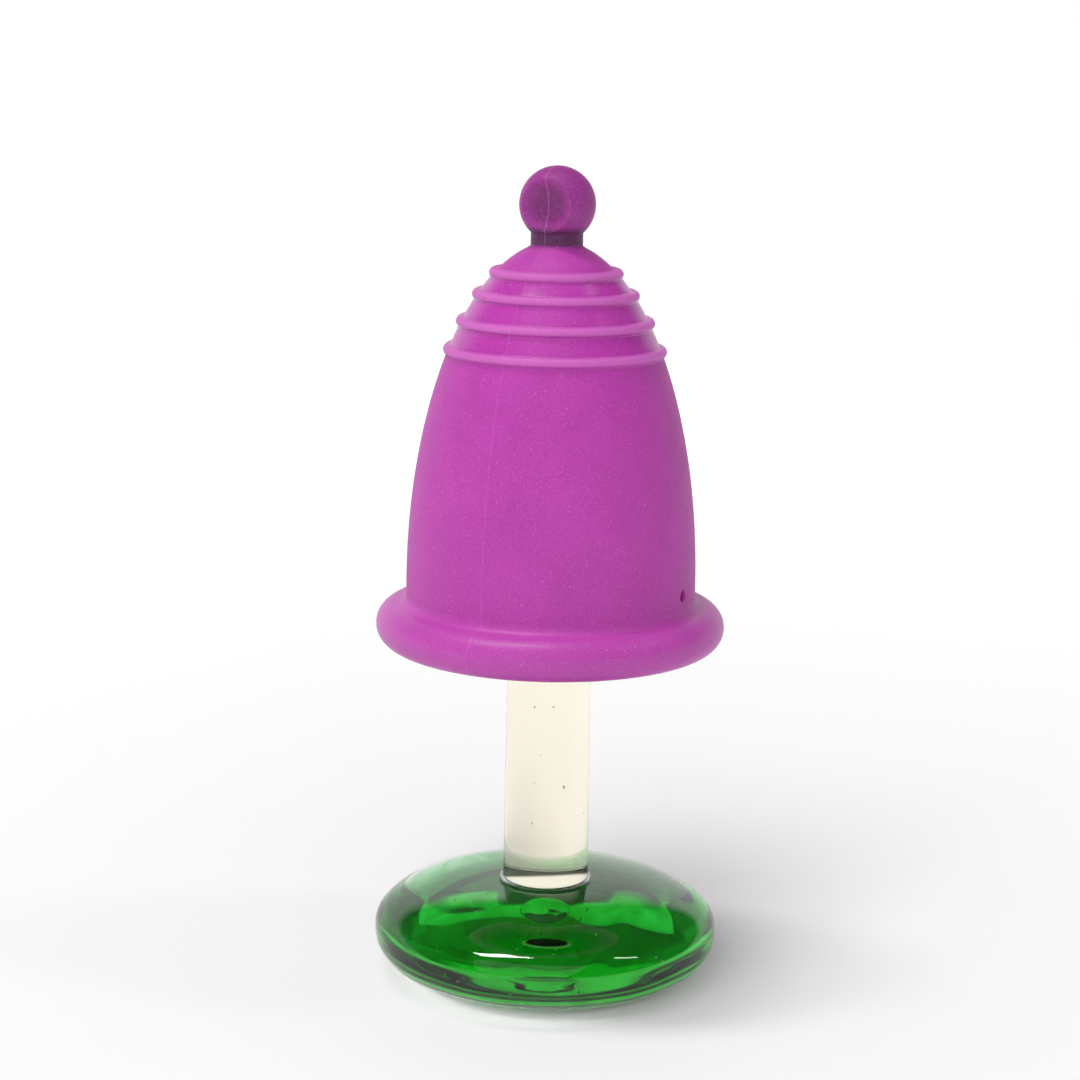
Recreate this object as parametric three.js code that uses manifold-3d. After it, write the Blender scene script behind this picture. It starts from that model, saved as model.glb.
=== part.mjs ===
// A silicone bell cup with a ball pull, mouth down over the glass rod of its display stand.
// Millimetres, +Z up, with the origin at the middle of the stand's underside.
import * as THREE from "three";
import { mergeVertices } from "three/addons/utils/BufferGeometryUtils.js";
import Module from "manifold-3d";

const wasm = await Module();
wasm.setup();

const GAP = 0.3; // left between two pieces that touch on the real object
const CUT_PAST = 1; // how far a cutting tool runs on past the faces it opens
const SHORTEST_STEP = 0.2; // a curve stops this far short of a corner that has its own point
const MERGE_WITHIN = 1e-4;

// The stand's puck is a superellipse above and below its widest circle, cut flat underneath.
const PUCK = {
  radius: 22.2,
  widestZ: 6.0,
  topZ: 12.4,
  lowerHalf: 6.92,
  upperPower: 2.33,
  lowerPower: 2.6,
};
// The green core keeps this much clear glass above, beside and below it.
const CORE = { coverTop: 1.3, coverSide: 3.6, coverBelow: 1.3 };
const PONTIL_RADIUS = 2.9; // open hollow under the puck, where a glassworker breaks it off its iron

const ROD = { footRadius: 5.5, topRadius: 4.95, topZ: 89, endRounding: 2.5 };
const COLLAR = { width: 0.6, height: 0.6, edge: 0.12 }; // ring of clear bond round the rod's foot

// The bell's outside is a quarter ellipse, and so is its inside.
const WALL = { radius: 18.22, shoulderZ: 51.1, rise: 43.15 };
const CEILING_Z = 90;
const RIM = { outerRadius: 22, beadRadius: 2.665, beadZ: 46.07, fillet: 1.2 };
const RINGS = { heights: [90.27, 87.62, 84.25, 80.77], radius: 0.65 };
const VENT = { radius: 0.7, z: 51.6, drill: 5, azimuths: [63.5, 243.5] };

const NECK = { radius: 3.22, seatZ: 93.6, topZ: 95.26 };
const BALL = { radius: 4.71, z: 98.7 };
// Two dished finger rests in the ball, facing opposite ways.
const DISH = { rimRadius: 3, floorFromMiddle: 2.8, azimuths: [-24, 156] };

// Straight steps round a whole turn, and along each curve of an outline.
const ROUND = { large: 48, small: 32, vent: 10, dish: 32 };
const STEPS = {
  puckTop: 10,
  puckBottom: 14,
  rodEnd: 6,
  collar: 4,
  wall: 10,
  betweenRings: 3,
  ring: 6,
  fillet: 4,
  bead: 16,
  inside: 12,
  ball: 16,
  dish: 20,
};

const SILICONE = new THREE.MeshStandardMaterial({ color: 0xb0429f, roughness: 0.55 });
const CLEAR_GLASS = new THREE.MeshStandardMaterial({
  color: 0xf6f4e6,
  roughness: 0.05,
  transparent: true,
  opacity: 0.4,
});
const GREEN_GLASS = new THREE.MeshStandardMaterial({
  color: 0x14803a,
  roughness: 0.05,
  transparent: true,
  opacity: 0.8,
});

const point = (r, z) => new THREE.Vector2(r, z);
const radians = THREE.MathUtils.degToRad;
const degrees = THREE.MathUtils.radToDeg;

// Points on an arc, from one angle to another in degrees, counted from outwards towards up.
function arc(r, z, radius, from, to, steps) {
  const points = [];
  for (let i = 0; i <= steps; i++) {
    const angle = radians(from + ((to - from) * i) / steps);
    points.push(point(r + radius * Math.cos(angle), z + radius * Math.sin(angle)));
  }
  return points;
}

// A quarter of a superellipse, from its widest point to its pole.
function superQuarter(radius, z, height, power, steps) {
  const points = [];
  for (let i = 0; i < steps; i++) {
    const angle = ((Math.PI / 2) * i) / steps;
    const across = radius * Math.pow(Math.cos(angle), 2 / power);
    points.push(point(across, z + height * Math.pow(Math.sin(angle), 2 / power)));
  }
  return [...points, point(0, z + height)];
}

// A solid of revolution about +Z. The outline starts and ends on the axis, or closes on itself.
function turned(outline, segments) {
  return new THREE.LatheGeometry(outline, segments).rotateX(Math.PI / 2);
}

// Turns a tool made at the front, -Y, round to its azimuth towards +X, and lifts it to its height.
function placed(tool, azimuth, z) {
  return tool.rotateZ(radians(azimuth)).translate(0, 0, z);
}

function toSolid(geometry) {
  const bare = geometry.clone();
  bare.deleteAttribute("normal");
  bare.deleteAttribute("uv");
  const merged = mergeVertices(bare, MERGE_WITHIN);
  return new wasm.Manifold(
    new wasm.Mesh({
      numProp: 3,
      vertProperties: merged.attributes.position.array,
      triVerts: new Uint32Array(merged.index.array),
    }),
  );
}

function toGeometry(solid) {
  const mesh = solid.getMesh();
  const geometry = new THREE.BufferGeometry();
  geometry.setAttribute("position", new THREE.BufferAttribute(mesh.vertProperties, 3));
  geometry.setIndex(new THREE.BufferAttribute(mesh.triVerts, 1));
  geometry.computeVertexNormals();
  return geometry;
}

// Cuts each tool out of a geometry.
function cut(geometry, tools) {
  let solid = toSolid(geometry);
  for (const tool of tools) solid = solid.subtract(toSolid(tool));
  return toGeometry(solid);
}

function named(name, geometry, material) {
  const mesh = new THREE.Mesh(geometry, material);
  mesh.name = name;
  return mesh;
}

// A closed puck outline, up its outside from the flat underside, inside the stand's own outline
// by the given insets.
function puckOutline(insetTop, insetSide, flatZ) {
  const radius = PUCK.radius - insetSide;
  const rise = PUCK.topZ - PUCK.widestZ - insetTop;
  const upper = superQuarter(radius, PUCK.widestZ, rise, PUCK.upperPower, STEPS.puckTop);
  const lower = superQuarter(
    radius,
    PUCK.widestZ,
    -PUCK.lowerHalf,
    PUCK.lowerPower,
    STEPS.puckBottom,
  );
  const share = (PUCK.widestZ - flatZ) / PUCK.lowerHalf;
  const flatRadius = radius * Math.pow(1 - Math.pow(share, PUCK.lowerPower), 1 / PUCK.lowerPower);
  const below = lower.slice(1).filter((p) => p.y > flatZ + SHORTEST_STEP);
  return [point(0, flatZ), point(flatRadius, flatZ), ...below.reverse(), ...upper];
}

function makeCasing() {
  const pocketFloor = CORE.coverBelow - GAP;
  const pocket = puckOutline(CORE.coverTop - GAP, CORE.coverSide - GAP, pocketFloor);
  const hollowLength = pocketFloor + 2 * CUT_PAST;
  const hollow = new THREE.CylinderGeometry(
    PONTIL_RADIUS,
    PONTIL_RADIUS,
    hollowLength,
    ROUND.small,
  );
  hollow.rotateX(Math.PI / 2).translate(0, 0, pocketFloor / 2);
  const outside = turned(puckOutline(0, 0, 0), ROUND.large);
  return cut(outside, [turned(pocket, ROUND.large), hollow]);
}

function makeCore() {
  const outline = puckOutline(CORE.coverTop, CORE.coverSide, CORE.coverBelow);
  return turned(outline, ROUND.large);
}

function makeRod() {
  const footZ = PUCK.topZ + GAP;
  const middle = ROD.topRadius - ROD.endRounding;
  const end = arc(middle, ROD.topZ - ROD.endRounding, ROD.endRounding, 0, 90, STEPS.rodEnd);
  const outline = [point(0, footZ), point(ROD.footRadius, footZ), ...end, point(0, ROD.topZ)];
  return turned(outline, ROUND.small);
}

// The collar's outside is a hollow quarter circle, as a bond or a fused joint draws itself.
function makeCollar() {
  const inner = ROD.footRadius + GAP;
  const outer = inner + COLLAR.width;
  const floor = PUCK.topZ + GAP;
  const top = floor + COLLAR.height;
  const sweep = arc(outer, top, COLLAR.height - COLLAR.edge, 270, 180, STEPS.collar);
  const corner = point(inner, floor);
  return turned([corner, point(outer, floor), ...sweep, point(inner, top), corner], ROUND.small);
}

const wallRadius = (z) => WALL.radius * Math.sqrt(1 - ((z - WALL.shoulderZ) / WALL.rise) ** 2);

// The bell's wall between two heights, without its ends, evenly spaced round the ellipse.
function wallStretch(fromZ, toZ, steps) {
  const from = Math.asin((fromZ - WALL.shoulderZ) / WALL.rise);
  const to = Math.asin((toZ - WALL.shoulderZ) / WALL.rise);
  const points = [];
  for (let i = 1; i < steps; i++) {
    const angle = from + ((to - from) * i) / steps;
    const z = WALL.shoulderZ + WALL.rise * Math.sin(angle);
    points.push(point(WALL.radius * Math.cos(angle), z));
  }
  return points;
}

// One grip ring: a half circle that stands on the wall, from its upper edge to its lower one.
function gripRing(z) {
  const r = wallRadius(z);
  const slope = (WALL.rise ** 2 * r) / (WALL.radius ** 2 * (z - WALL.shoulderZ));
  const outward = degrees(Math.atan2(1, slope));
  return arc(r, z, RINGS.radius, outward + 90, outward - 90, STEPS.ring);
}

// The bell's outside, from the seat of the pull's neck down to the fillet above the rim.
function crownOutline() {
  const outline = [point(0, NECK.seatZ), point(wallRadius(NECK.seatZ), NECK.seatZ)];
  for (const z of RINGS.heights) {
    const ring = gripRing(z);
    outline.push(...wallStretch(outline.at(-1).y, ring[0].y, STEPS.betweenRings), ...ring);
  }
  outline.push(...wallStretch(outline.at(-1).y, WALL.shoulderZ, STEPS.wall));
  return outline;
}

// The fillet above the rim, then the rim's rolled bead round to where the inside wall starts.
function rimOutline() {
  const beadR = RIM.outerRadius - RIM.beadRadius;
  const filletR = WALL.radius + RIM.fillet;
  const reach = RIM.beadRadius + RIM.fillet;
  const filletZ = RIM.beadZ + Math.sqrt(reach ** 2 - (filletR - beadR) ** 2);
  const meet = degrees(Math.atan2(filletZ - RIM.beadZ, filletR - beadR));
  const fillet = arc(filletR, filletZ, RIM.fillet, 180, 180 + meet, STEPS.fillet);
  const bead = arc(beadR, RIM.beadZ, RIM.beadRadius, meet, -180, STEPS.bead);
  return [...fillet, ...bead.slice(1)];
}

function insideOutline() {
  const radius = RIM.outerRadius - 2 * RIM.beadRadius;
  return superQuarter(radius, WALL.shoulderZ, CEILING_Z - WALL.shoulderZ, 2, STEPS.inside);
}

function makeBell() {
  const outline = [...crownOutline(), ...rimOutline(), ...insideOutline()];
  const vents = VENT.azimuths.map((azimuth) => {
    const drill = new THREE.CylinderGeometry(VENT.radius, VENT.radius, VENT.drill, ROUND.vent);
    return placed(drill.translate(0, -WALL.radius, 0), azimuth, VENT.z);
  });
  return cut(turned(outline.reverse(), ROUND.large), vents);
}

function makeNeck() {
  const from = NECK.seatZ + GAP;
  const to = NECK.topZ - GAP;
  const outline = [point(0, from), point(NECK.radius, from), point(NECK.radius, to), point(0, to)];
  return turned(outline, ROUND.small);
}

function makeBall() {
  const start = degrees(Math.asin((NECK.topZ - BALL.z) / BALL.radius));
  const round = arc(0, BALL.z, BALL.radius, start, 90, STEPS.ball).slice(0, -1);
  const outline = [point(0, NECK.topZ), ...round, point(0, BALL.z + BALL.radius)];
  const depth = Math.sqrt(BALL.radius ** 2 - DISH.rimRadius ** 2) - DISH.floorFromMiddle;
  const pressRadius = (depth ** 2 + DISH.rimRadius ** 2) / (2 * depth);
  const presses = DISH.azimuths.map((azimuth) => {
    const press = new THREE.SphereGeometry(pressRadius, ROUND.dish, STEPS.dish);
    return placed(press.translate(0, -(DISH.floorFromMiddle + pressRadius), 0), azimuth, BALL.z);
  });
  return cut(turned(outline, ROUND.small), presses);
}

const stand = new THREE.Group();
stand.add(
  named("base_clear_casing", makeCasing(), CLEAR_GLASS),
  named("base_green_core", makeCore(), GREEN_GLASS),
  named("stem_rod", makeRod(), CLEAR_GLASS),
  named("foot_collar", makeCollar(), CLEAR_GLASS),
);

const cup = new THREE.Group();
cup.add(
  named("cup_bell", makeBell(), SILICONE),
  named("pull_neck", makeNeck(), SILICONE),
  named("pull_ball", makeBall(), SILICONE),
);

const part = new THREE.Group();
part.add(stand, cup);

export default part;
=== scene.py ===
import math
import random

import bmesh
import bpy
from mathutils import Euler, Matrix, Vector, noise


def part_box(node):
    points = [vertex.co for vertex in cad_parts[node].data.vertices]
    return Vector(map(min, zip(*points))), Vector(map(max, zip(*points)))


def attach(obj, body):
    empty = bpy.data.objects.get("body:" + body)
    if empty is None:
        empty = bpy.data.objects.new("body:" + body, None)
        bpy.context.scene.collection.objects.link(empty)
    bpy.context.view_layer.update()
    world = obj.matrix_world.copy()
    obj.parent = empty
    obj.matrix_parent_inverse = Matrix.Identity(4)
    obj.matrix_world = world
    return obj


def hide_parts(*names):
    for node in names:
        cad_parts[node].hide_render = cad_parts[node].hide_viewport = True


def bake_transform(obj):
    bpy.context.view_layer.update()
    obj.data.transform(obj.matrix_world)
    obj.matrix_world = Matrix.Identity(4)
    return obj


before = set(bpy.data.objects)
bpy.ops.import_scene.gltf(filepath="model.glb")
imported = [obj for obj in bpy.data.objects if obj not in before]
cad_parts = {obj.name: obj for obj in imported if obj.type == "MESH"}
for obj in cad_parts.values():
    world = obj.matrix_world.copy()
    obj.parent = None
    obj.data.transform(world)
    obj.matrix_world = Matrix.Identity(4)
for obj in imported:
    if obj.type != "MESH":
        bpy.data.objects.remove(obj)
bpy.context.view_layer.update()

# A silicone bell cup, mouth down over the glass rod of its stand. Lengths are in millimetres and angles in
# degrees, except where a comment says otherwise, and in shader sockets, which take Blender's metres.
# Azimuth 0 is the front, -Y, and 90 is +X.
MM = 0.001
SEED = 11
SHARP_ANGLE = 55
TINY = 1e-6
NEAR = 0.01  # a point this close to a surface counts as on it
REST = "rest_mm"  # each silicone vertex keeps its place at rest here, so that no pose moves its colours

# ---- sizes read from the frame -------------------------------------------------------------


def corners_mm(node):
    """The lowest and the highest corner of a node's box."""
    low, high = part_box(node)
    return [v / MM for v in low], [v / MM for v in high]


puck_high = corners_mm("base_clear_casing")[1]
core_low, core_high = corners_mm("base_green_core")
rod_high = corners_mm("stem_rod")[1]
bell_low, bell_high = corners_mm("cup_bell")
ball_high = corners_mm("pull_ball")[1]

PUCK_RADIUS = puck_high[0]
PUCK_TOP = puck_high[2]
# The clear glass beside, above and below the green.
CORE_SIDE = PUCK_RADIUS - core_high[0]
CORE_TOP = PUCK_TOP - core_high[2]
CORE_BELOW = core_low[2]
ROD_TOP = rod_high[2]
RIM_RADIUS = bell_high[0]
RIM_LOW = bell_low[2]
SEAT_Z = bell_high[2]  # where the neck meets the crown
BALL_TOP = ball_high[2]

# ---- sizes the frame doesn't hold ----------------------------------------------------------

# The puck is a superellipse above and below its widest circle, cut flat underneath.
PUCK_WIDEST = 6.0
PUCK_LOWER_HALF = 6.92
PUCK_UPPER_POWER, PUCK_LOWER_POWER = 2.33, 2.6
# The rough hollow in the middle of the underside, and the size of its bumps.
PONTIL_RADIUS, PONTIL_DEPTH = 2.9, 0.4
PONTIL_ROUGHNESS, PONTIL_BUMP = 0.12, 1.3
# How far the flat ring round the hollow rises off the table in places, and the size of those places.
UNDERSIDE_WAVE, UNDERSIDE_BUMP = 0.5, 5.0
# Each glass skin's wobble: how deep, how wide, and where in the noise it is read.
CASING_WOBBLE = (0.35, 9, 3.1)
CORE_WOBBLE = (0.5, 8, 9.7)
WOBBLE_FROM, WOBBLE_EASE = 0.4, 1.5  # the wobble starts at this height and grows over the next stretch
WOBBLE_UPRIGHT = 1.5  # above 1, the wobble moves a point more up or down than straight out

# Seeds are tiny bubbles: how many, how far inside the skin, how thick, and how many times longer. The turns
# and the lean are the most that a seed may have, in radians.
PUCK_SEEDS, PUCK_SEED_INSET, PUCK_SEED_SIDE_INSET = 70, 1.5, 1
PUCK_SEED_HALF, PUCK_SEED_DRAWN, PUCK_SEED_TURNS = (0.05, 0.1), (1, 5), (3, 3, 6)
ROD_SEEDS, ROD_SEED_INSET, ROD_SEED_FROM_AXIS = 30, 0.8, 1
ROD_SEED_HALF, ROD_SEED_DRAWN, ROD_SEED_LEAN = (0.04, 0.08), (1, 3), 0.4
ROD_SEEDS_ABOVE_FOOT, ROD_SEEDS_BELOW_END = 2, 6
SEED_SUBDIVISIONS = 3
# A flat bubble under the front of the rod's foot: its middle, its half sizes and its tilt in radians.
FLAT_BUBBLE, FLAT_BUBBLE_HALF, FLAT_BUBBLE_TILT = (0.3, -11.5, 4.6), (2.9, 0.75, 0.2), (0.1, 0, 0)

ROD_FOOT_RADIUS, ROD_TOP_RADIUS = 5.5, 4.95
ROD_FOOT_ROUNDING = 0.2
ROD_FOOT_GAP = 0.06  # air under the rod's flat end, which mirrors like the real one
# The bead of bond round the foot: its air gap to the rod, its width, its thin edge, and how far it sinks
# below the height of the puck's pole, because the puck already falls away there.
COLLAR_GAP, COLLAR_WIDTH, COLLAR_EDGE, COLLAR_SINK = 0.03, 0.4, 0.04, 0.08

# The bell's outside above its shoulder is a quarter ellipse, and so is its inside.
BEAD_RADIUS = 2.665
WALL_RADIUS, SHOULDER_Z, WALL_RISE = 18.22, 51.1, 43.15
CEILING_Z = 90.0
RIM_FILLET = 1.2
RING_HEIGHTS = (90.27, 87.62, 84.25, 80.77)
RING_RADIUS, RING_FILLET = 0.65, 0.25
VENT_RADIUS, VENT_Z = 0.7, 51.6
VENT_FLARE, VENT_FLARE_DEPTH = 0.3, 0.25
VENT_AZIMUTHS = (63.5, 243.5)
DRILL_REACH = 4
# The flash lines of the two mould halves.
PARTING_AZIMUTHS = (-27.0, 153.0)
RIDGE_HEIGHT, RIDGE_HALF_WIDTH = 0.04, 0.32  # the width is in degrees of azimuth
INNER_WALL = 1.0  # a point this far inside the outer wall is on the inner one, and has no ridge

NECK_RADIUS, NECK_TOP = 3.22, 95.26
NECK_MIDDLE = 94.4
NECK_FOOT_SPREAD, NECK_FOOT_RISES = 0.02, (0.05, 0.25)
BALL_RADIUS = 4.71
# Each finger dish: its rim's radius, its floor's distance from the ball's middle, and its lip's rounding.
DISH_RIM, DISH_FLOOR, DISH_LIP = 3.2, 2.4, 0.45
DISH_AZIMUTHS = (-24.0, 156.0)

# Steps round a whole turn, and along the curves of an outline.
GLASS_TURN, ROD_TURN, SILICONE_TURN, DRILL_TURN = 160, 120, 180, 24
# A silicone turn also has steps at these azimuths either side of a parting line, and none closer than this.
RIDGE_STEPS, CLOSEST_STEP = (0.15, 0.3, 0.6, 1.2), 0.1
PUCK_STEPS, PONTIL_STEPS, UNDERSIDE_STEPS = 60, 12, 20
ROD_STEPS, ROD_FOOT_STEPS, ROD_END_STEPS, COLLAR_STEPS = 24, 5, 10, 6
CEILING_STEPS, BAND_STEPS, BEAD_STEPS, RIM_FILLET_STEPS = 48, 6, 64, 14
RING_STEPS, RING_FILLET_STEPS, CROWN_STEPS, FEWEST_WALL_STEPS = 16, 4, 8, 3
WALL_STEP = 0.45  # in height
VENT_FLARE_STEPS, BALL_STEPS = 4, 90

# ---- outlines ------------------------------------------------------------------------------


def arc(r, z, radius, start, end, steps):
    """Points (r, z) on an arc between two angles, counted from outwards towards up."""
    angles = [math.radians(start + (end - start) * i / steps) for i in range(steps + 1)]
    return [(r + radius * math.cos(a), z + radius * math.sin(a)) for a in angles]


def super_quarter(radius, z, height, power, steps):
    """A quarter of a superellipse, from its widest point to its pole on the axis."""
    points = []
    for i in range(steps + 1):
        a = math.pi / 2 * i / steps
        across = radius * max(math.cos(a), 0.0) ** (2 / power)
        points.append((across if i < steps else 0.0, z + height * math.sin(a) ** (2 / power)))
    return points


def puck_outline(inset_top, inset_side, flat_z):
    """From the flat underside out and up to the top pole, a given distance inside the stand's own."""
    radius = PUCK_RADIUS - inset_side
    rise = PUCK_TOP - PUCK_WIDEST - inset_top
    upper = super_quarter(radius, PUCK_WIDEST, rise, PUCK_UPPER_POWER, PUCK_STEPS)
    lower = super_quarter(radius, PUCK_WIDEST, -PUCK_LOWER_HALF, PUCK_LOWER_POWER, PUCK_STEPS)
    share = (PUCK_WIDEST - flat_z) / PUCK_LOWER_HALF
    flat_radius = radius * (1 - share**PUCK_LOWER_POWER) ** (1 / PUCK_LOWER_POWER)
    above = [p for p in lower[1:] if p[1] > flat_z + 2 * NEAR]
    return [(flat_radius, flat_z)] + above[::-1] + upper


def wall_radius(z):
    return WALL_RADIUS * math.sqrt(max(1 - ((z - SHOULDER_Z) / WALL_RISE) ** 2, 0.0))


def wall_stretch(z_from, z_to, steps):
    """The bell's outside wall between two heights, evenly spaced round its ellipse, without its ends."""
    a = math.asin((z_from - SHOULDER_Z) / WALL_RISE)
    b = math.asin((z_to - SHOULDER_Z) / WALL_RISE)
    angles = [a + (b - a) * i / steps for i in range(1, steps)]
    return [(WALL_RADIUS * math.cos(t), SHOULDER_Z + WALL_RISE * math.sin(t)) for t in angles]


def grip_ring(z):
    """A round bead on the wall with a small hollow fillet at each foot, from its lower foot to its upper."""
    r = wall_radius(z)
    slope = WALL_RISE**2 * r / (WALL_RADIUS**2 * (z - SHOULDER_Z))
    outward = math.degrees(math.atan2(1, slope))
    side = math.sqrt((RING_RADIUS + RING_FILLET) ** 2 - RING_FILLET**2)
    turn = math.degrees(math.atan2(RING_FILLET, side))
    normal = math.radians(outward)
    out_r, out_z = math.cos(normal), math.sin(normal)
    low = (r + side * out_z + RING_FILLET * out_r, z - side * out_r + RING_FILLET * out_z)
    high = (r - side * out_z + RING_FILLET * out_r, z + side * out_r + RING_FILLET * out_z)
    foot = arc(*low, RING_FILLET, outward + 180, outward + 90 + turn, RING_FILLET_STEPS)
    top = arc(r, z, RING_RADIUS, outward - 90 + turn, outward + 90 - turn, RING_STEPS)
    head = arc(*high, RING_FILLET, outward - 90 - turn, outward - 180, RING_FILLET_STEPS)
    return foot[:-1] + top + head[1:]


def rim_outline():
    """Round the rim's bead, from the inside wall to the outside one, and up the fillet above it."""
    bead_r, bead_z = RIM_RADIUS - BEAD_RADIUS, RIM_LOW + BEAD_RADIUS
    fillet_r = WALL_RADIUS + RIM_FILLET
    fillet_z = bead_z + math.sqrt((BEAD_RADIUS + RIM_FILLET) ** 2 - (fillet_r - bead_r) ** 2)
    meet = math.degrees(math.atan2(fillet_z - bead_z, fillet_r - bead_r))
    bead = arc(bead_r, bead_z, BEAD_RADIUS, -180, meet, BEAD_STEPS)
    return bead + arc(fillet_r, fillet_z, RIM_FILLET, 180 + meet, 180, RIM_FILLET_STEPS)[1:]


def inside_outline():
    """From the ceiling's pole down the inside wall to just above the rim's bead."""
    radius, bead_z = RIM_RADIUS - 2 * BEAD_RADIUS, RIM_LOW + BEAD_RADIUS
    ceiling = super_quarter(radius, SHOULDER_Z, CEILING_Z - SHOULDER_Z, 2, CEILING_STEPS)[::-1]
    shares = [1 - i / BAND_STEPS for i in range(1, BAND_STEPS)]
    return ceiling + [(radius, bead_z + (SHOULDER_Z - bead_z) * share) for share in shares]


def bell_outline():
    """The bell's section: from the ceiling's pole down the inside, round the rim and up to the seat."""
    outline = inside_outline() + rim_outline()
    for z in RING_HEIGHTS[::-1]:
        ring = grip_ring(z)
        steps = max(int((ring[0][1] - outline[-1][1]) / WALL_STEP), FEWEST_WALL_STEPS)
        outline += wall_stretch(outline[-1][1], ring[0][1], steps) + ring
    return outline + wall_stretch(outline[-1][1], SEAT_Z, CROWN_STEPS)


# ---- meshes --------------------------------------------------------------------------------


def direction(azimuth):
    """The outward unit vector at an azimuth."""
    a = math.radians(azimuth)
    return Vector((math.sin(a), -math.cos(a), 0.0))


def azimuth_steps(count, fine=()):
    """Even azimuths, with extra ones close beside each of the fine ones."""
    steps = {round(360 * i / count, 4) for i in range(count)}
    for middle in fine:
        steps |= {round((middle + d * side) % 360, 4) for d in (0, *RIDGE_STEPS) for side in (-1, 1)}
    kept = []
    for azimuth in sorted(steps):
        if not kept or azimuth - kept[-1] > CLOSEST_STEP:
            kept.append(azimuth)
    return kept


def smooth(mesh):
    mesh.validate()
    mesh.shade_smooth()
    mesh.set_sharp_from_angle(angle=math.radians(SHARP_ANGLE))


def add_object(name, mesh):
    obj = bpy.data.objects.new(name, mesh)
    bpy.context.scene.collection.objects.link(obj)
    return obj


def faces_between(lower, upper):
    """The faces between two rings of vertices, either of which may be one vertex on the axis."""
    faces = []
    count = max(len(lower), len(upper))
    for i in range(count):
        j = (i + 1) % count
        if len(lower) == 1:
            faces.append((lower[0], upper[j], upper[i]))
        elif len(upper) == 1:
            faces.append((lower[i], lower[j], upper[0]))
        else:
            faces.append((lower[i], lower[j], upper[j], upper[i]))
    return faces


def turned(name, outline, azimuths, shape=None):
    """A closed mesh of revolution. shape moves a point."""
    verts, rings = [], []
    for r, z in outline:
        ways = [Vector()] if r < TINY else [direction(a) for a in azimuths]
        rings.append(range(len(verts), len(verts) + len(ways)))
        verts += [way * r + Vector((0, 0, z)) for way in ways]
    if shape:
        verts = [shape(v) for v in verts]
    pairs = list(zip(rings, rings[1:]))
    if len(rings[0]) > 1:
        pairs.append((rings[-1], rings[0]))
    faces = [face for lower, upper in pairs for face in faces_between(lower, upper)]
    mesh = bpy.data.meshes.new(name)
    mesh.from_pydata([v * MM for v in verts], [], faces)
    smooth(mesh)
    return add_object(name, mesh)


def wobble(depth, size, offset):
    """The slow unevenness of a hand-worked glass skin. It only goes inwards, and fades out underneath."""

    def shape(v):
        push = (noise.noise(v / size + Vector((offset, 0, 0))) - 1) * 0.5 * depth
        outward = Vector((v.x, v.y, WOBBLE_UPRIGHT * (v.z - PUCK_WIDEST)))
        keep = min(max((v.z - WOBBLE_FROM) / WOBBLE_EASE, 0.0), 1.0)
        return v + outward.normalized() * push * keep if outward.length > TINY else v

    return shape


def casing_shape(flat_radius):
    """The casing's unevenness: a rough hollow, a wavy flat ring round it, and a wobble everywhere else."""
    elsewhere = wobble(*CASING_WOBBLE)

    def shape(v):
        r = math.hypot(v.x, v.y)
        spot = Vector((v.x, v.y, 0))
        if v.z < PONTIL_DEPTH + NEAR and r < PONTIL_RADIUS + NEAR:
            rough = 1 + PONTIL_ROUGHNESS * noise.noise(spot / PONTIL_BUMP)
            return Vector((v.x, v.y, v.z * rough))
        if v.z < NEAR and r < flat_radius - NEAR:
            swell = math.sin(math.pi * (r - PONTIL_RADIUS) / (flat_radius - PONTIL_RADIUS))
            lift = 0.5 + 0.5 * noise.noise(spot / UNDERSIDE_BUMP)
            return Vector((v.x, v.y, UNDERSIDE_WAVE * swell * lift))
        return elsewhere(v)

    return shape


def parting_ridge(v):
    """Raises the thin flash line that the two mould halves leave."""
    azimuth = math.degrees(math.atan2(v.x, -v.y))
    across = min(abs((azimuth - p + 180) % 360 - 180) for p in PARTING_AZIMUTHS)
    r = math.hypot(v.x, v.y)
    if across > RIDGE_HALF_WIDTH or r < TINY:
        return v
    outer = wall_radius(max(v.z, SHOULDER_Z))
    if v.z < CEILING_Z and r < outer - INNER_WALL:
        return v
    lift = RIDGE_HEIGHT * (0.5 + 0.5 * math.cos(math.pi * across / RIDGE_HALF_WIDTH))
    return v + Vector((v.x, v.y, 0)).normalized() * lift


def smooth_less(a, b, blend):
    """The lesser of two numbers, eased where they are within blend of each other."""
    h = max(blend - abs(a - b), 0.0) / blend
    return min(a, b) - h * h * blend * 0.25


def dished(v):
    """Presses the two finger dishes, each part of a sphere, into the ball."""
    middle = Vector((0, 0, BALL_TOP - BALL_RADIUS))
    offset = v - middle
    if abs(offset.length - BALL_RADIUS) > 2 * NEAR:
        return v
    depth = math.sqrt(BALL_RADIUS**2 - DISH_RIM**2) - DISH_FLOOR
    press = (depth**2 + DISH_RIM**2) / (2 * depth)
    centre = DISH_FLOOR + press
    reach = BALL_RADIUS
    for dish in DISH_AZIMUTHS:
        cosine = offset.normalized().dot(direction(dish))
        inside = press**2 - centre**2 * (1 - cosine**2)
        if cosine > 0 and inside > 0:
            reach = smooth_less(reach, centre * cosine - math.sqrt(inside), DISH_LIP)
    return middle + offset * (reach / BALL_RADIUS)


def cut_away(obj, tools):
    """Cuts each tool out of obj, and deletes the tool."""
    for tool in tools:
        modifier = obj.modifiers.new("cut", "BOOLEAN")
        modifier.operation, modifier.solver, modifier.object = "DIFFERENCE", "EXACT", tool
    bpy.context.view_layer.update()
    made = bpy.data.meshes.new_from_object(obj.evaluated_get(bpy.context.evaluated_depsgraph_get()))
    obj.modifiers.clear()
    obj.data = made
    smooth(made)
    for tool in tools:
        bpy.data.objects.remove(tool)


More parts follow.
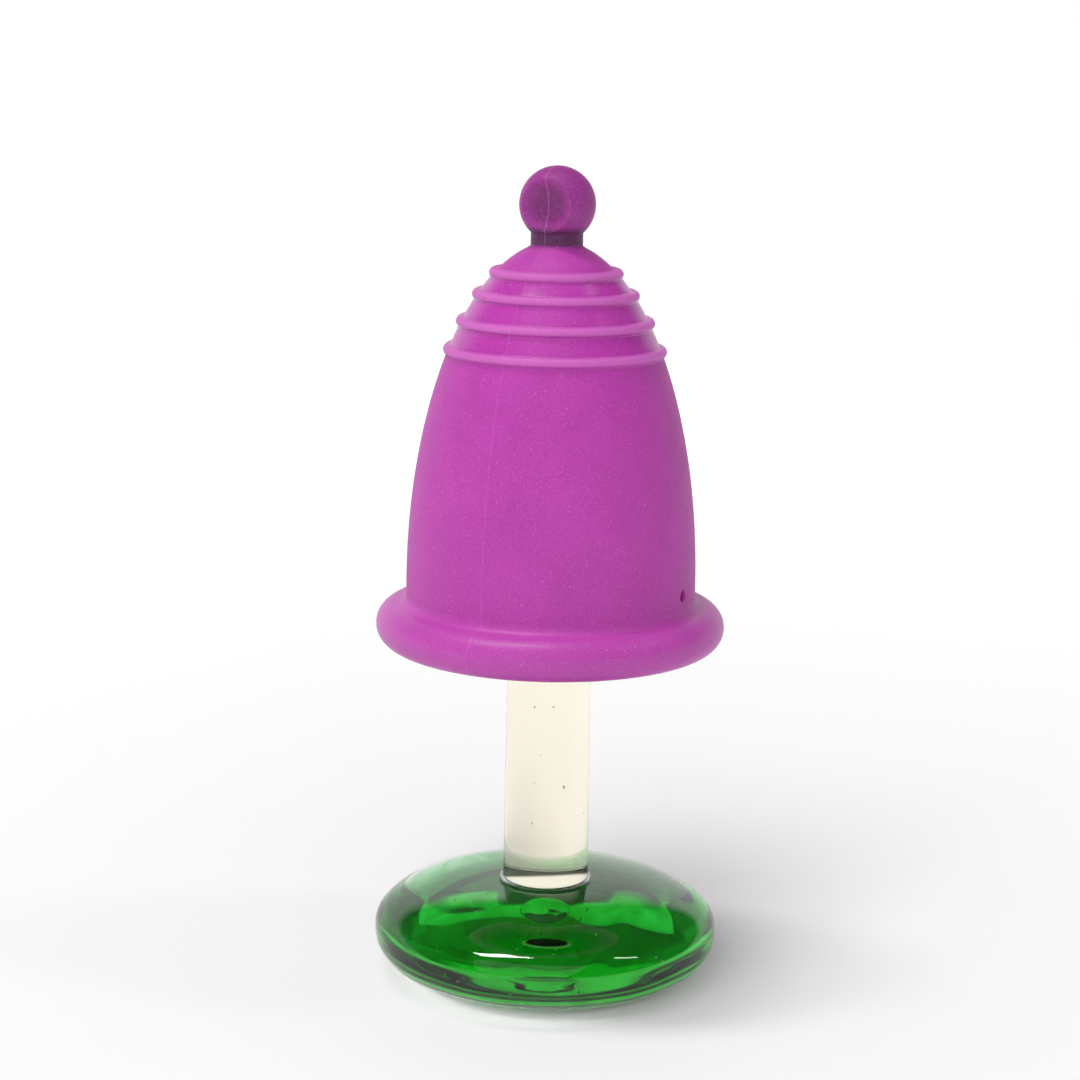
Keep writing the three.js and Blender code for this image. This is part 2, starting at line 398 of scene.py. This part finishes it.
def vent_drill(azimuth):
    """A round drill along -Y, turned to its azimuth, that flares a little at the bell's outside."""
    near, far = WALL_RADIUS - DRILL_REACH, WALL_RADIUS + DRILL_REACH
    flare_z, flare_r = WALL_RADIUS - VENT_FLARE_DEPTH, VENT_RADIUS + VENT_FLARE
    outline = [(0, near), (VENT_RADIUS, near), (VENT_RADIUS, flare_z)]
    outline += arc(flare_r, flare_z, VENT_FLARE, 180, 100, VENT_FLARE_STEPS)[1:]
    outline += [(flare_r, far), (0, far)]
    drill = turned("vent_drill", outline, azimuth_steps(DRILL_TURN))
    turn = Matrix.Rotation(math.radians(azimuth), 4, "Z") @ Matrix.Rotation(math.radians(90), 4, "X")
    drill.data.transform(Matrix.Translation((0, 0, VENT_Z * MM)) @ turn)
    return drill


# ---- materials -----------------------------------------------------------------------------

# The frost on each grip ring, with painted light on its upper face: how far it goes below and above the
# ring's middle, and its edge.
RING_FROST_AND_LIGHT, RING_FROST_AND_LIGHT_EDGE = (-0.15, 0.5), 0.25
# Painted shade: how much darker the neck, the ball and the dishes are painted, and where that starts and
# ends.
NECK_SHADE, NECK_SHADE_FROM, NECK_SHADE_PAST, NECK_SHADE_EDGE = 0.55, 0.3, 0.2, 0.7
BALL_SHADE, BALL_SHADE_EDGE = 0.42, 0.4
DISH_SHADE, DISH_SHADE_FROM, DISH_SHADE_TO = 0.3, 0.3, 3.0
# The parting line: where it fades out and is full beside its middle, how clear it is on the bell and on the
# ball, and the height over which that changes.
PARTING_FADE, PARTING_CLEARNESS, PARTING_EASE = (0.09, 0.03), (0.08, 0.17), 7
# Its roughness, what the grain adds to it, and what the bands between the rings and the rim take away.
MATTE, GRAIN_MATTE, CROWN_GLOSS, RIM_GLOSS = 0.5, 0.12, 0.32, 0.18
CROWN_EDGE, RIM_EDGE = 0.2, 1.5


class Nodes:
    """Short calls for building the node tree of one material or world."""

    def __init__(self, owner, output):
        owner.use_nodes = True
        self.owner, self.tree = owner, owner.node_tree
        self.tree.nodes.clear()
        self.output = self.add(output)

    def feed(self, socket, value):
        """Links a socket to another's value, or sets its own."""
        if isinstance(value, bpy.types.NodeSocket):
            self.tree.links.new(value, socket)
        else:
            socket.default_value = value

    def add(self, kind, inputs=None, **settings):
        node = self.tree.nodes.new("ShaderNode" + kind)
        for key, value in settings.items():
            setattr(node, key, value)
        for key, value in (inputs or {}).items():
            self.feed(node.inputs[key], value)
        return node

    def ramp(self, factor, stops):
        node = self.add("ValToRGB", {"Fac": factor})
        elements = node.color_ramp.elements
        while len(elements) < len(stops):
            elements.new(0.5)
        for element, (position, colour) in zip(elements, stops):
            element.position, element.color = position, colour
        return node.outputs["Color"]

    def mix(self, factor, a, b):
        """Two colours mixed: a Mix node's sockets 6 and 7, and its output 2, are the ones for colours."""
        return self.add("Mix", {0: factor, 6: a, 7: b}, data_type="RGBA").outputs[2]

    def maths(self, operation, *values):
        return self.add("Math", dict(enumerate(values)), operation=operation).outputs[0]

    def vector(self, operation, *values):
        return self.add("VectorMath", dict(enumerate(values)), operation=operation).outputs

    def rise(self, value, start, end, low=0.0, high=1.0):
        """Goes from low to high as value goes from start to end, and stays there beyond them."""
        limits = {"From Min": start, "From Max": end, "To Min": low, "To Max": high}
        return self.add("MapRange", {"Value": value, **limits}).outputs["Result"]

    def principled(self, **inputs):
        """A Principled shader. An underscore in a name stands for a space."""
        named = {key.replace("_", " "): value for key, value in inputs.items()}
        return self.add("BsdfPrincipled", named).outputs["BSDF"]

    def absorption(self, tint, density):
        return self.add("VolumeAbsorption", {"Color": tint, "Density": density}).outputs["Volume"]

    def done(self, surface, volume=None):
        self.feed(self.output.inputs["Surface"], surface)
        if volume:
            self.feed(self.output.inputs["Volume"], volume)
        return self.owner


def material_nodes(name):
    return Nodes(bpy.data.materials.new(name), "OutputMaterial")


def grey(value):
    return (value, value, value, 1.0)


def object_place(n):
    """Where a point is in its object, in metres."""
    return n.add("TexCoord").outputs["Object"]


def between(n, value, low, high, edge):
    """1 where value is between low and high, falling to 0 over edge outside them."""
    return n.maths("MULTIPLY", n.rise(value, low - edge, low), n.rise(value, high + edge, high))


def specks(n, place, scale, size, share):
    """1 inside small round specks: scale is how many fit in a millimetre, share how many are kept."""
    cells = n.add("TexVoronoi", {"Vector": place, "Scale": scale, "Randomness": 1.0}).outputs
    dots = n.maths("LESS_THAN", cells["Distance"], size)
    pick = n.add("SeparateColor", {"Color": cells["Color"]}).outputs["Red"]
    return n.maths("MULTIPLY", dots, n.maths("LESS_THAN", pick, share))


def ring_frost_and_light_mask(n, height):
    """1 on the upper face of each grip ring, which is frosted and painted lighter there, as painted light
    from above.
    """
    low, high = RING_FROST_AND_LIGHT
    mask = 0.0
    for ring in RING_HEIGHTS:
        mask = n.maths("MAXIMUM", mask, between(n, height, ring + low, ring + high, RING_FROST_AND_LIGHT_EDGE))
    return mask


def painted_shade_mask(n, place, height):
    """Painted shade: the whole neck and ball painted darker than the bell, the neck under the ball darker
    still, and the finger dishes too.
    """
    neck = between(n, height, SEAT_Z + NECK_SHADE_FROM, NECK_TOP + NECK_SHADE_PAST, NECK_SHADE_EDGE)
    ball = n.rise(height, SEAT_Z, SEAT_Z + BALL_SHADE_EDGE)
    from_middle = n.vector("DISTANCE", place, (0, 0, BALL_TOP - BALL_RADIUS))["Value"]
    dish = n.rise(from_middle, BALL_RADIUS - DISH_SHADE_FROM, DISH_SHADE_TO)
    shaded = n.maths("ADD", n.maths("MULTIPLY", neck, NECK_SHADE), n.maths("MULTIPLY", ball, BALL_SHADE))
    return n.maths("ADD", shaded, n.maths("MULTIPLY", dish, DISH_SHADE))


def parting_mask(n, split, height):
    """A fine line where the mould halves met, clearer on the ball than on the bell."""
    turn = math.radians(PARTING_AZIMUTHS[0])
    x = n.maths("MULTIPLY", split["X"], math.cos(turn))
    y = n.maths("MULTIPLY", split["Y"], math.sin(turn))
    off = n.maths("ABSOLUTE", n.maths("ADD", x, y))
    clearness = n.rise(height, CEILING_Z, CEILING_Z + PARTING_EASE, *PARTING_CLEARNESS)
    return n.maths("MULTIPLY", n.rise(off, *PARTING_FADE), clearness)


def silicone_colour(n, place, layers):
    """A slow mottle, with each layer laid over the ones before it."""
    mottle = n.add("TexNoise", {"Vector": place, "Scale": 0.11, "Detail": 5.0, "Roughness": 0.65})
    colour = n.ramp(mottle.outputs["Fac"], [(0.3, (0.43, 0.036, 0.35, 1)), (0.7, (0.5, 0.046, 0.41, 1))])
    for mask, strength, over in layers:
        colour = n.mix(n.maths("MULTIPLY", mask, strength), colour, over)
    return colour


def silicone_roughness(n, height, grain, rings, rim):
    """Matte, and glossier between the grip rings and on the rim."""
    crown = between(n, height, RING_HEIGHTS[-1], RING_HEIGHTS[0], CROWN_EDGE)
    gloss = n.maths("MULTIPLY", crown, n.maths("SUBTRACT", 1.0, rings))
    rough = n.maths("ADD", MATTE, n.maths("MULTIPLY", grain, GRAIN_MATTE))
    rough = n.maths("SUBTRACT", rough, n.maths("MULTIPLY", gloss, CROWN_GLOSS))
    return n.maths("SUBTRACT", rough, n.maths("MULTIPLY", rim, RIM_GLOSS))


def silicone_material(name):
    """Purple silicone: matte, frosted on the grip rings, glossier between them, with pale dust, painted shade
    in the neck, ball and dishes, and painted light on the rings' upper faces and on the rim.
    """
    n = material_nodes(name)
    place = n.add("Attribute", attribute_name=REST).outputs["Vector"]
    split = n.add("SeparateXYZ", {"Vector": place}).outputs
    height = split["Z"]
    rings = ring_frost_and_light_mask(n, height)
    rim = between(n, height, RIM_LOW, RIM_LOW + 2 * BEAD_RADIUS, RIM_EDGE)
    grain = n.add("TexNoise", {"Vector": place, "Scale": 5.0, "Detail": 3.0, "Roughness": 0.7}).outputs["Fac"]
    frost = n.ramp(grain, [(0.5, grey(0)), (0.75, grey(1))])
    fine = specks(n, place, 2.6, 0.2, 0.35)
    coarse = specks(n, place, 0.9, 0.1, 0.12)
    # Each layer is where it lies, how strong it is, and its colour.
    layers = (
        # painted shade in the neck, over the ball and in the finger dishes
        (painted_shade_mask(n, place, height), 1.0, (0.08, 0.01, 0.07, 1)),
        # frost on the grip rings, and painted light on their upper faces
        (rings, 0.3, (0.85, 0.3, 0.75, 1)),
        (frost, 0.16, (0.8, 0.42, 0.74, 1)),
        (fine, 0.15, (0.85, 0.5, 0.8, 1)),
        (coarse, 0.15, (0.9, 0.72, 0.86, 1)),
        (parting_mask(n, split, height), 1.0, (0.85, 0.45, 0.8, 1)),
        # a painted sheen: the rim's bead painted a lighter pink
        (rim, 0.05, (0.85, 0.35, 0.75, 1)),
    )
    relief = n.maths("ADD", grain, fine)
    bump = n.add("Bump", {"Height": relief, "Strength": 0.25, "Distance": 0.00006})
    shader = n.principled(
        Base_Color=silicone_colour(n, place, layers),
        Roughness=silicone_roughness(n, height, grain, rings, rim),
        Normal=bump.outputs["Normal"],
        IOR=1.42,
        Specular_IOR_Level=0.5,
        Subsurface_Weight=0.1,
        Subsurface_Scale=0.0015,
        Subsurface_Radius=(1.0, 0.35, 0.8),
    )
    return n.done(shader)


def lets_light_through(n, glass):
    """The glass shader, made clear to lamps, so that what stands behind it isn't left black."""
    clear = n.add("BsdfTransparent", {"Color": (0.82, 0.84, 0.82, 1)}).outputs["BSDF"]
    mixed = n.add("MixShader", {"Fac": n.add("LightPath").outputs["Is Shadow Ray"], 1: glass, 2: clear})
    return mixed.outputs["Shader"]


def clear_glass_material(name, tint, density, ripple):
    """Clear glass with a slow ripple in its skin and a tint that deepens through its thickness."""
    n = material_nodes(name)
    slow = n.add("TexNoise", {"Vector": object_place(n), "Scale": 120.0, "Detail": 1.0})
    bump = n.add("Bump", {"Height": slow.outputs["Fac"], "Strength": ripple, "Distance": 0.0004})
    shader = n.principled(
        Base_Color=grey(1.0),
        Roughness=0.0,
        Normal=bump.outputs["Normal"],
        IOR=1.52,
        Transmission_Weight=1.0,
    )
    return n.done(lets_light_through(n, shader), n.absorption(tint, density))


def tinted_glass_material(name, tint, density, floor_tint):
    """Coloured glass fused inside the clear: no light bends where they meet, it only loses colour.

    Light on its way to the floor, or back from it, passes the skin with the floor's tint instead of streaks.
    """
    n = material_nodes(name)
    slow = n.add("TexNoise", {"Vector": object_place(n), "Scale": 70.0, "Detail": 1.0, "Distortion": 1.5})
    streaks = n.ramp(
        slow.outputs["Fac"],
        [(0.4, grey(1.0)), (0.5, (0.7, 0.9, 0.72, 1)), (0.6, grey(1.0)), (0.68, (0.5, 0.8, 0.52, 1))],
    )
    path = n.add("LightPath").outputs
    bounced = n.maths("MINIMUM", path["Diffuse Depth"], 1.0)
    by_floor = n.maths("MAXIMUM", path["Is Shadow Ray"], bounced)
    skin = n.add("BsdfTransparent", {"Color": n.mix(by_floor, streaks, floor_tint)})
    return n.done(skin.outputs["BSDF"], n.absorption(tint, density))


def seed_material(name):
    """Small bubbles with a painted sparkle: their pale colour is a painted reflection, as air in glass looks
    bright from most sides.
    """
    n = material_nodes(name)
    change = n.add("TexNoise", {"Vector": object_place(n), "Scale": 300.0})
    colour = n.ramp(change.outputs["Fac"], [(0.4, (0.25, 0.6, 0.3, 1)), (0.6, (0.85, 1, 0.85, 1))])
    return n.done(n.principled(Base_Color=colour, Roughness=0.1, IOR=1.5, Transmission_Weight=0.6))


def bubble_material(name):
    """A flat bubble, painted dark across its face, with a painted highlight round its edge, where it gathers
    light.
    """
    n = material_nodes(name)
    middle = [v * MM for v in FLAT_BUBBLE]
    across, along = [1 / (v * MM) for v in FLAT_BUBBLE_HALF[:2]]
    off = n.vector("SUBTRACT", object_place(n), middle)["Vector"]
    off = n.vector("MULTIPLY", off, (across, along, 0))["Vector"]
    reach = n.vector("LENGTH", off)["Value"]
    colour = n.ramp(reach, [(0.8, (0.004, 0.012, 0.004, 1)), (0.93, (0.9, 1.0, 0.5, 1))])
    return n.done(n.principled(Base_Color=colour, Roughness=0.3))


def floor_material(name):
    """A pale floor that brightens outwards, until it meets the white behind it without an edge."""
    n = material_nodes(name)
    place = object_place(n)
    cloud = n.add("TexNoise", {"Vector": place, "Scale": 6.0, "Detail": 3.0})
    colour = n.ramp(cloud.outputs["Fac"], [(0.3, grey(0.95)), (0.7, grey(0.97))])
    glow = n.rise(n.vector("LENGTH", place)["Value"], *FLOOR_GLOW_REACH, 0.0, FLOOR_GLOW)
    shader = n.principled(
        Base_Color=colour,
        Roughness=0.7,
        Emission_Color=grey(1.0),
        Emission_Strength=glow,
    )
    return n.done(shader)


# ---- pieces --------------------------------------------------------------------------------


def keep_rest(obj):
    """Stores where each vertex is at rest, in millimetres."""
    attribute = obj.data.attributes.new(REST, "FLOAT_VECTOR", "POINT")
    for vertex, item in zip(obj.data.vertices, attribute.data):
        item.vector = vertex.co / MM


def dress(obj, material, slot, *replaced):
    """Gives a piece its material and hides the CAD nodes it stands for. slot is not used."""
    obj.data.materials.clear()
    obj.data.materials.append(material)
    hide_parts(*replaced)


def make_puck(material):
    """The clear casing, with a rough hollow under its middle and a slightly wavy underside."""
    outline = puck_outline(0, 0, 0)
    flat_radius = outline[0][0]
    quarter = arc(0, 0, PONTIL_RADIUS, 90, 0, PONTIL_STEPS)
    hollow = [(r, z * PONTIL_DEPTH / PONTIL_RADIUS) for r, z in quarter]
    hollow[0], hollow[-1] = (0, PONTIL_DEPTH), (PONTIL_RADIUS, 0)
    reach = flat_radius - PONTIL_RADIUS
    flat = [(PONTIL_RADIUS + reach * i / UNDERSIDE_STEPS, 0) for i in range(1, UNDERSIDE_STEPS)]
    shape = casing_shape(flat_radius)
    puck = turned("glass_puck", hollow + flat + outline, azimuth_steps(GLASS_TURN), shape)
    dress(puck, material, "clear_glass", "base_clear_casing")
    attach(puck, "stand")


def make_core(material):
    """The green glass inside the casing."""
    outline = [(0, CORE_BELOW)] + puck_outline(CORE_TOP, CORE_SIDE, CORE_BELOW)
    core = turned("green_core", outline, azimuth_steps(GLASS_TURN), wobble(*CORE_WOBBLE))
    dress(core, material, "green_glass", "base_green_core")
    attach(core, "stand")


def blobs(name, items, material, slot):
    """One piece of many small closed blobs. Each item is its place, half sizes and turn in radians."""
    build = bmesh.new()
    for place, half, turn in items:
        made = bmesh.ops.create_icosphere(build, subdivisions=SEED_SUBDIVISIONS, radius=1)["verts"]
        size = Matrix.Diagonal((*half, 1))
        to = Matrix.Translation(place) @ Euler(turn).to_matrix().to_4x4() @ size
        for vert in made:
            vert.co = (to @ vert.co) * MM
    mesh = bpy.data.meshes.new(name)
    build.to_mesh(mesh)
    build.free()
    mesh.shade_smooth()
    obj = add_object(name, mesh)
    dress(obj, material, slot)
    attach(obj, "stand")


def puck_seeds():
    """Small drawn-out bubbles all through the puck."""
    seeds = []
    while len(seeds) < PUCK_SEEDS:
        radius = PUCK_RADIUS * math.sqrt(random.random())
        place = direction(random.uniform(0, 360)) * radius
        place.z = random.uniform(PUCK_SEED_INSET, PUCK_TOP - PUCK_SEED_INSET)
        share = abs(place.z - PUCK_WIDEST) / (PUCK_TOP - PUCK_WIDEST)
        widest = PUCK_RADIUS - PUCK_SEED_SIDE_INSET
        if radius > widest * (1 - share**PUCK_UPPER_POWER) ** (1 / PUCK_UPPER_POWER):
            continue
        thin = random.uniform(*PUCK_SEED_HALF)
        long = thin * random.uniform(*PUCK_SEED_DRAWN)
        turn = [random.uniform(0, most) for most in PUCK_SEED_TURNS]
        seeds.append((place, (thin, thin, long), turn))
    return seeds


def rod_seeds():
    """Tiny upright bubbles along the rod."""
    seeds = []
    for _ in range(ROD_SEEDS):
        way = direction(random.uniform(0, 360))
        place = way * random.uniform(ROD_SEED_FROM_AXIS, ROD_TOP_RADIUS - ROD_SEED_INSET)
        place.z = random.uniform(PUCK_TOP + ROD_SEEDS_ABOVE_FOOT, ROD_TOP - ROD_SEEDS_BELOW_END)
        thin = random.uniform(*ROD_SEED_HALF)
        long = thin * random.uniform(*ROD_SEED_DRAWN)
        lean = random.uniform(-ROD_SEED_LEAN, ROD_SEED_LEAN)
        seeds.append((place, (thin, thin, long), (0, lean, 0)))
    return seeds


def make_rod(material):
    """The rod, eased at its foot, slightly tapered and rounded at its upper end."""
    foot = PUCK_TOP + ROD_FOOT_GAP
    rounding = ROD_FOOT_ROUNDING
    end = ROD_TOP_RADIUS / 2
    low, high = foot + rounding, ROD_TOP - end
    outline = [(0, foot)]
    outline += arc(ROD_FOOT_RADIUS - rounding, low, rounding, -90, 0, ROD_FOOT_STEPS)
    for i in range(1, ROD_STEPS):
        share = i / ROD_STEPS
        radius = ROD_FOOT_RADIUS + (ROD_TOP_RADIUS - ROD_FOOT_RADIUS) * share
        outline.append((radius, low + (high - low) * share))
    outline += arc(ROD_TOP_RADIUS - end, high, end, 0, 90, ROD_END_STEPS) + [(0, ROD_TOP)]
    rod = turned("glass_rod", outline, azimuth_steps(ROD_TURN))
    dress(rod, material, "clear_glass", "stem_rod")
    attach(rod, "stand")


def make_collar(material):
    """The thin bead of clear bond drawn up round the rod's foot."""
    inner = ROD_FOOT_RADIUS + COLLAR_GAP
    outer = inner + COLLAR_WIDTH
    floor = PUCK_TOP - COLLAR_SINK
    top = floor + COLLAR_WIDTH
    sweep = arc(outer, top, COLLAR_WIDTH - COLLAR_EDGE, 270, 180, COLLAR_STEPS)
    outline = [(inner, floor), (outer, floor)] + sweep + [(inner, top)]
    collar = turned("foot_bead", outline, azimuth_steps(ROD_TURN))
    dress(collar, material, "clear_glass", "foot_collar")
    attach(collar, "stand")


def make_bell(material):
    """The bell and the lower half of the neck, in one skin."""
    first, second = NECK_FOOT_RISES
    outline = bell_outline() + [(NECK_RADIUS + NECK_FOOT_SPREAD, SEAT_Z + first)]
    outline += [(NECK_RADIUS, SEAT_Z + second), (NECK_RADIUS, NECK_MIDDLE), (0, NECK_MIDDLE)]
    bell = turned("bell_skin", outline, azimuth_steps(SILICONE_TURN, PARTING_AZIMUTHS), parting_ridge)
    cut_away(bell, [vent_drill(azimuth) for azimuth in VENT_AZIMUTHS])
    keep_rest(bell)
    dress(bell, material, "purple_silicone", "cup_bell")
    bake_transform(bell)


def make_ball(material):
    """The upper half of the neck and the ball, in one skin."""
    middle = BALL_TOP - BALL_RADIUS
    meet = math.degrees(math.acos(NECK_RADIUS / BALL_RADIUS))
    neck = [(0, NECK_MIDDLE), (NECK_RADIUS, NECK_MIDDLE), (NECK_RADIUS, (NECK_MIDDLE + NECK_TOP) / 2)]
    round_part = arc(0, middle, BALL_RADIUS, -meet, 90, BALL_STEPS)
    outline = neck + round_part[:-1] + [(0, BALL_TOP)]
    ball = turned("ball_skin", outline, azimuth_steps(SILICONE_TURN, PARTING_AZIMUTHS), dished)
    keep_rest(ball)
    dress(ball, material, "purple_silicone", "pull_ball", "pull_neck")
    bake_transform(ball)


# ---- stage ---------------------------------------------------------------------------------

CAMERA_DISTANCE, CAMERA_HEIGHT = 308.16, 120.06
CAMERA_PITCH, CAMERA_YAW, CAMERA_ROLL = 11.622, -0.269, 0.989
CAMERA_LENS, CAMERA_SENSOR = 83.33, 36.0
CAMERA_CLIP = (0.01, 20)  # metres

FLOOR_RADIUS, FLOOR_DROP, FLOOR_SIDES = 700.0, 0.05, 96
# The floor's own glow starts and is full at these distances in metres, and this strong.
FLOOR_GLOW_REACH, FLOOR_GLOW = (0.03, 0.5), 0.34

# The sine of a height above the horizon, and the light there.
WORLD_LEVELS = ((0.05, 1.0), (0.15, 0.09))
WORLD_LIFT = (-0.12, 0.42, 0.0)  # the white reaches higher behind the object and on its left
LAMP_DISTANCE = 3.0  # metres, far enough to light the floor evenly
# Each lamp's name, the way towards it, its size in metres, its power in watts, and whether it is mirrored.
LAMPS = (
    ("overhead_strip", (-0.25, -0.02, 0.97), (0.4, 1.25), 34.0, True),
    ("right_strip", (0.585, -0.08, 0.79), (0.08, 0.7), 4.0, True),
    ("front_left", (-0.2, -0.8, 0.6), (3.5, 3.5), 20.0, True),
    ("soft_box", (-0.24, -0.5, 0.83), (1.5, 1.5), 40.0, False),
)


def make_camera():
    data = bpy.data.cameras.new("camera")
    data.lens, data.sensor_width = CAMERA_LENS, CAMERA_SENSOR
    data.clip_start, data.clip_end = CAMERA_CLIP
    camera = add_object("camera", data)
    upright = Matrix.Rotation(math.radians(90 - CAMERA_PITCH), 4, "X")
    turn = Matrix.Rotation(math.radians(-CAMERA_YAW), 4, "Z")
    roll = Matrix.Rotation(math.radians(CAMERA_ROLL), 4, "Z")
    place = Matrix.Translation((0, -CAMERA_DISTANCE * MM, CAMERA_HEIGHT * MM))
    camera.matrix_world = place @ turn @ upright @ roll
    bpy.context.scene.camera = camera


def area_light(name, place, size, power, mirrored):
    data = bpy.data.lights.new(name, "AREA")
    data.shape, data.energy = "RECTANGLE", power
    data.size, data.size_y = size
    light = add_object(name, data)
    light.location = place
    light.rotation_euler = (-place).to_track_quat("-Z", "Y").to_euler()
    light.visible_glossy = mirrored
    light.visible_transmission = False  # the glass lets lamp light through by its shadow instead


def make_world():
    """White near the horizon, and dimmer above, where a studio's ceiling and walls are."""
    n = Nodes(bpy.data.worlds.new("studio"), "OutputWorld")
    way = n.add("TexCoord").outputs["Generated"]
    height = n.add("SeparateXYZ", {"Vector": way}).outputs["Z"]
    lift = n.maths("MAXIMUM", n.vector("DOT_PRODUCT", way, WORLD_LIFT)["Value"], 0.0)
    levels = [(position, grey(level)) for position, level in WORLD_LEVELS]
    colour = n.ramp(n.maths("SUBTRACT", height, lift), levels)
    return n.done(n.add("Background", {"Color": colour}).outputs["Background"])


def make_floor():
    mesh = bpy.data.meshes.new("floor")
    rim = [direction(360 * i / FLOOR_SIDES) * (FLOOR_RADIUS * MM) for i in range(FLOOR_SIDES)]
    mesh.from_pydata(rim, [], [range(FLOOR_SIDES)])
    floor = add_object("floor", mesh)
    floor.location.z = -FLOOR_DROP * MM
    mesh.materials.append(floor_material("pale_floor"))


def make_stage():
    make_floor()
    bpy.context.scene.world = make_world()
    for name, toward, size, power, mirrored in LAMPS:
        area_light(name, Vector(toward).normalized() * LAMP_DISTANCE, size, power, mirrored)
    bpy.context.scene.view_settings.view_transform = "Standard"


# ---- build ---------------------------------------------------------------------------------

ROD_TINT = {"tint": (1, 0.9, 0.6, 1), "density": 55.0}
CASING_TINT = {"tint": (0.85, 0.95, 0.88, 1), "density": 6.0}
# The green, and what its skin lets through of the light on the floor, which the photo shows nearly neutral.
GREEN_TINT = {"tint": (0.02, 0.86, 0.25, 1), "density": 180.0, "floor_tint": (0.8, 0.58, 0.7, 1)}

random.seed(SEED)
make_camera()
make_stage()

silicone = silicone_material("purple_silicone")
rod_glass = clear_glass_material("rod_glass", **ROD_TINT, ripple=0.02)
casing_glass = clear_glass_material("casing_glass", **CASING_TINT, ripple=0.05)
green_glass = tinted_glass_material("green_glass", **GREEN_TINT)
seed_look = seed_material("glass_seeds")
bubble_look = bubble_material("bubble_face")

make_puck(casing_glass)
make_core(green_glass)
blobs("puck_seeds", puck_seeds(), seed_look, "clear_glass")
blobs("rod_seeds", rod_seeds(), seed_look, "clear_glass")
blobs("flat_bubble", [(FLAT_BUBBLE, FLAT_BUBBLE_HALF, FLAT_BUBBLE_TILT)], bubble_look, "clear_glass")
make_rod(rod_glass)
make_collar(casing_glass)
make_bell(silicone)
make_ball(silicone)
